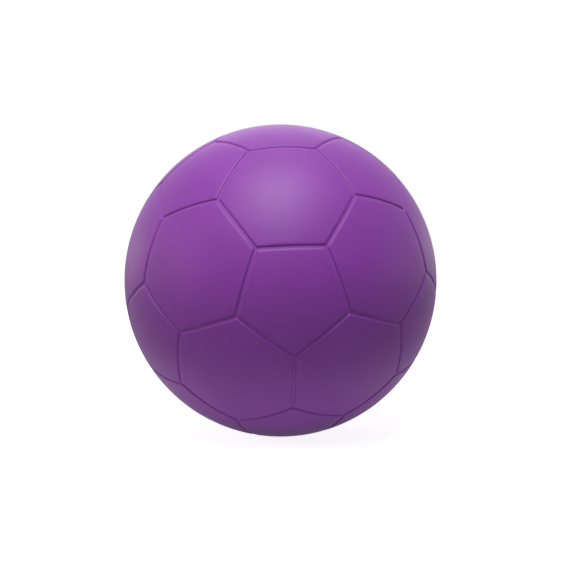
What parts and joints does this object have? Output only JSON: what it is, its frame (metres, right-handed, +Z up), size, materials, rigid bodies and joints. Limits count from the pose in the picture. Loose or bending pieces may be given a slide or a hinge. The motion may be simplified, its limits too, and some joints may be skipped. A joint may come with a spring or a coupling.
{
  "type": "dodgeball",
  "caption": "Inflated purple rubber dodgeball with pentagon and hexagon cover panels set in shallow channels, and a needle valve.",
  "frame": {"origin": "centre of the ball", "axes": "+Z up, -Y towards the pentagon panel at the front, +Y along the valve axis out of the valve's mouth"},
  "size_m": [0.216, 0.2159, 0.216],
  "materials": {
    "cover_panel": "satin with a fine grain",
    "carcass": "satin",
    "bladder": "smooth",
    "winding": "wound nylon thread",
    "valve_seat": "matte",
    "valve_core": "smooth"
  },
  "bodies": {
    "ball": {"bladder": "bladder", "winding": "winding", "carcass": "carcass", "valve_seat": "valve_seat", "valve_panel": "cover_panel", "pentagon_panel_01": "cover_panel", "pentagon_panel_02": "cover_panel", "pentagon_panel_03": "cover_panel", "pentagon_panel_04": "cover_panel", "pentagon_panel_05": "cover_panel", "pentagon_panel_06": "cover_panel", "pentagon_panel_07": "cover_panel", "pentagon_panel_08": "cover_panel", "pentagon_panel_09": "cover_panel", "pentagon_panel_10": "cover_panel", "pentagon_panel_11": "cover_panel", "hexagon_panel_01": "cover_panel", "hexagon_panel_02": "cover_panel", "hexagon_panel_03": "cover_panel", "hexagon_panel_04": "cover_panel", "hexagon_panel_05": "cover_panel", "hexagon_panel_06": "cover_panel", "hexagon_panel_07": "cover_panel", "hexagon_panel_08": "cover_panel", "hexagon_panel_09": "cover_panel", "hexagon_panel_10": "cover_panel", "hexagon_panel_11": "cover_panel", "hexagon_panel_12": "cover_panel", "hexagon_panel_13": "cover_panel", "hexagon_panel_14": "cover_panel", "hexagon_panel_15": "cover_panel", "hexagon_panel_16": "cover_panel", "hexagon_panel_17": "cover_panel", "hexagon_panel_18": "cover_panel", "hexagon_panel_19": "cover_panel", "hexagon_panel_20": "cover_panel"},
    "core": {"valve_core": "valve_core"}
  },
  "joints": [
    {"name": "core_pull", "type": "slide", "parent": "ball", "child": "core", "axis": [0, 1, 0], "range_m": [0, 0.0155]}
  ]
}
